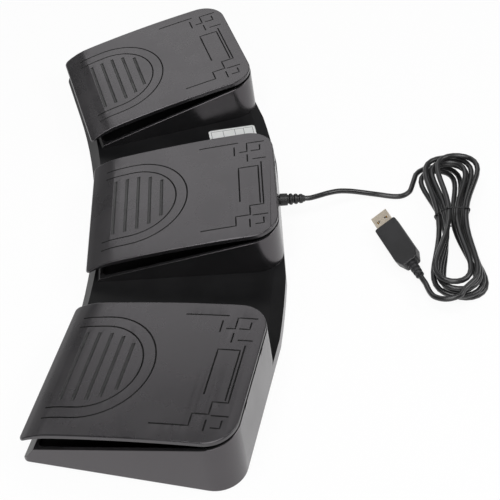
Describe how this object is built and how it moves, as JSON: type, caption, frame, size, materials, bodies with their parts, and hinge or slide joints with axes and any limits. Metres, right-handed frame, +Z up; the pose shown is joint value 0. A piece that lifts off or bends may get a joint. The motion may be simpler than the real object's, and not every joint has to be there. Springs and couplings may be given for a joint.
{
  "type": "usb foot pedal switch",
  "caption": "Fan-shaped foot switch with broad sprung pedals on a low wedge base, a microswitch under each pedal and a bundled USB cable.",
  "frame": {"origin": "on the floor under the middle of the base's overall box, cable left out", "axes": "+X along the row of pedals to the right, +Y from the pedals' noses to the hinged rear, +Z up"},
  "size_m": [0.4222, 0.296, 0.0434],
  "materials": {
    "shell_black": "satin black moulded plastic with a fine grain",
    "cover_black": "matte black moulded plastic",
    "pedal_black": "matte black textured plastic with raised lines",
    "screw_steel": "zinc-plated steel",
    "pin_steel": "ground steel rod",
    "spring_steel": "bright spring steel",
    "foot_rubber": "matte black rubber",
    "switch_black": "black switch case",
    "plunger_red": "red switch plunger",
    "board_green": "green circuit board",
    "chip_black": "black chip package",
    "connector_cream": "cream wire connector",
    "wire_red": "red insulated wire",
    "label_white": "blank pale label",
    "cable_black": "black flexible cable jacket",
    "sleeve_black": "black ribbed sleeve",
    "tie_black": "black cable tie",
    "plug_black": "black moulded plug",
    "plug_metal": "plated steel shell",
    "insert_white": "white plug insert",
    "contact_gold": "gold-plated contacts"
  },
  "bodies": {
    "base": {"base_deck": "shell_black", "left_housing": "shell_black", "middle_housing": "shell_black", "right_housing": "shell_black", "bottom_cover": "cover_black", "cover_screws": "screw_steel", "rubber_feet": "foot_rubber", "left_hinge_pin": "pin_steel", "middle_hinge_pin": "pin_steel", "right_hinge_pin": "pin_steel", "left_return_spring": "spring_steel", "middle_return_spring": "spring_steel", "right_return_spring": "spring_steel", "left_microswitch": "switch_black", "middle_microswitch": "switch_black", "right_microswitch": "switch_black", "controller_board": "board_green", "controller_chip": "chip_black", "cable_connector": "connector_cream", "left_switch_wire": "wire_red", "middle_switch_wire": "wire_red", "right_switch_wire": "wire_red", "label_sticker": "label_white", "inner_cable": "cable_black", "cable_sleeve": "sleeve_black", "cable_lead": "cable_black", "cable_hank": "cable_black", "cable_tie": "tie_black", "cable_tail": "cable_black", "usb_plug_body": "plug_black", "usb_plug_shell": "plug_metal", "usb_plug_insert": "insert_white", "usb_contacts": "contact_gold"},
    "left_plate": {"left_pedal": "pedal_black"},
    "left_button": {"left_plunger": "plunger_red"},
    "middle_plate": {"middle_pedal": "pedal_black"},
    "middle_button": {"middle_plunger": "plunger_red"},
    "right_plate": {"right_pedal": "pedal_black"},
    "right_button": {"right_plunger": "plunger_red"}
  },
  "joints": [
    {"name": "left_pedal_hinge", "type": "hinge", "parent": "base", "child": "left_plate", "pos_m": [-0.16059, 0.04497, 0.031], "axis": [0.9666, 0.2561, 0], "range_deg": [0, 3], "stiffness_Nm_per_rad": 2, "springref_deg": -8.59, "deforming": ["left_return_spring"]},
    {"name": "left_plunger_slide", "type": "slide", "parent": "base", "child": "left_button", "axis": [0, 0, -1], "range_m": [0, 0.0012]},
    {"name": "middle_pedal_hinge", "type": "hinge", "parent": "base", "child": "middle_plate", "pos_m": [0, 0.06589, 0.031], "axis": [1, 0, 0], "range_deg": [0, 3], "stiffness_Nm_per_rad": 2, "springref_deg": -8.59, "deforming": ["middle_return_spring"]},
    {"name": "middle_plunger_slide", "type": "slide", "parent": "base", "child": "middle_button", "axis": [0, 0, -1], "range_m": [0, 0.0012]},
    {"name": "right_pedal_hinge", "type": "hinge", "parent": "base", "child": "right_plate", "pos_m": [0.16059, 0.04497, 0.031], "axis": [0.9666, -0.2561, 0], "range_deg": [0, 3], "stiffness_Nm_per_rad": 2, "springref_deg": -8.59, "deforming": ["right_return_spring"]},
    {"name": "right_plunger_slide", "type": "slide", "parent": "base", "child": "right_button", "axis": [0, 0, -1], "range_m": [0, 0.0012]}
  ],
  "couplings": [
    {"joint": "left_plunger_slide", "follows": "left_pedal_hinge", "m_per_rad": 0.0215},
    {"joint": "middle_plunger_slide", "follows": "middle_pedal_hinge", "m_per_rad": 0.0215},
    {"joint": "right_plunger_slide", "follows": "right_pedal_hinge", "m_per_rad": 0.0215}
  ]
}
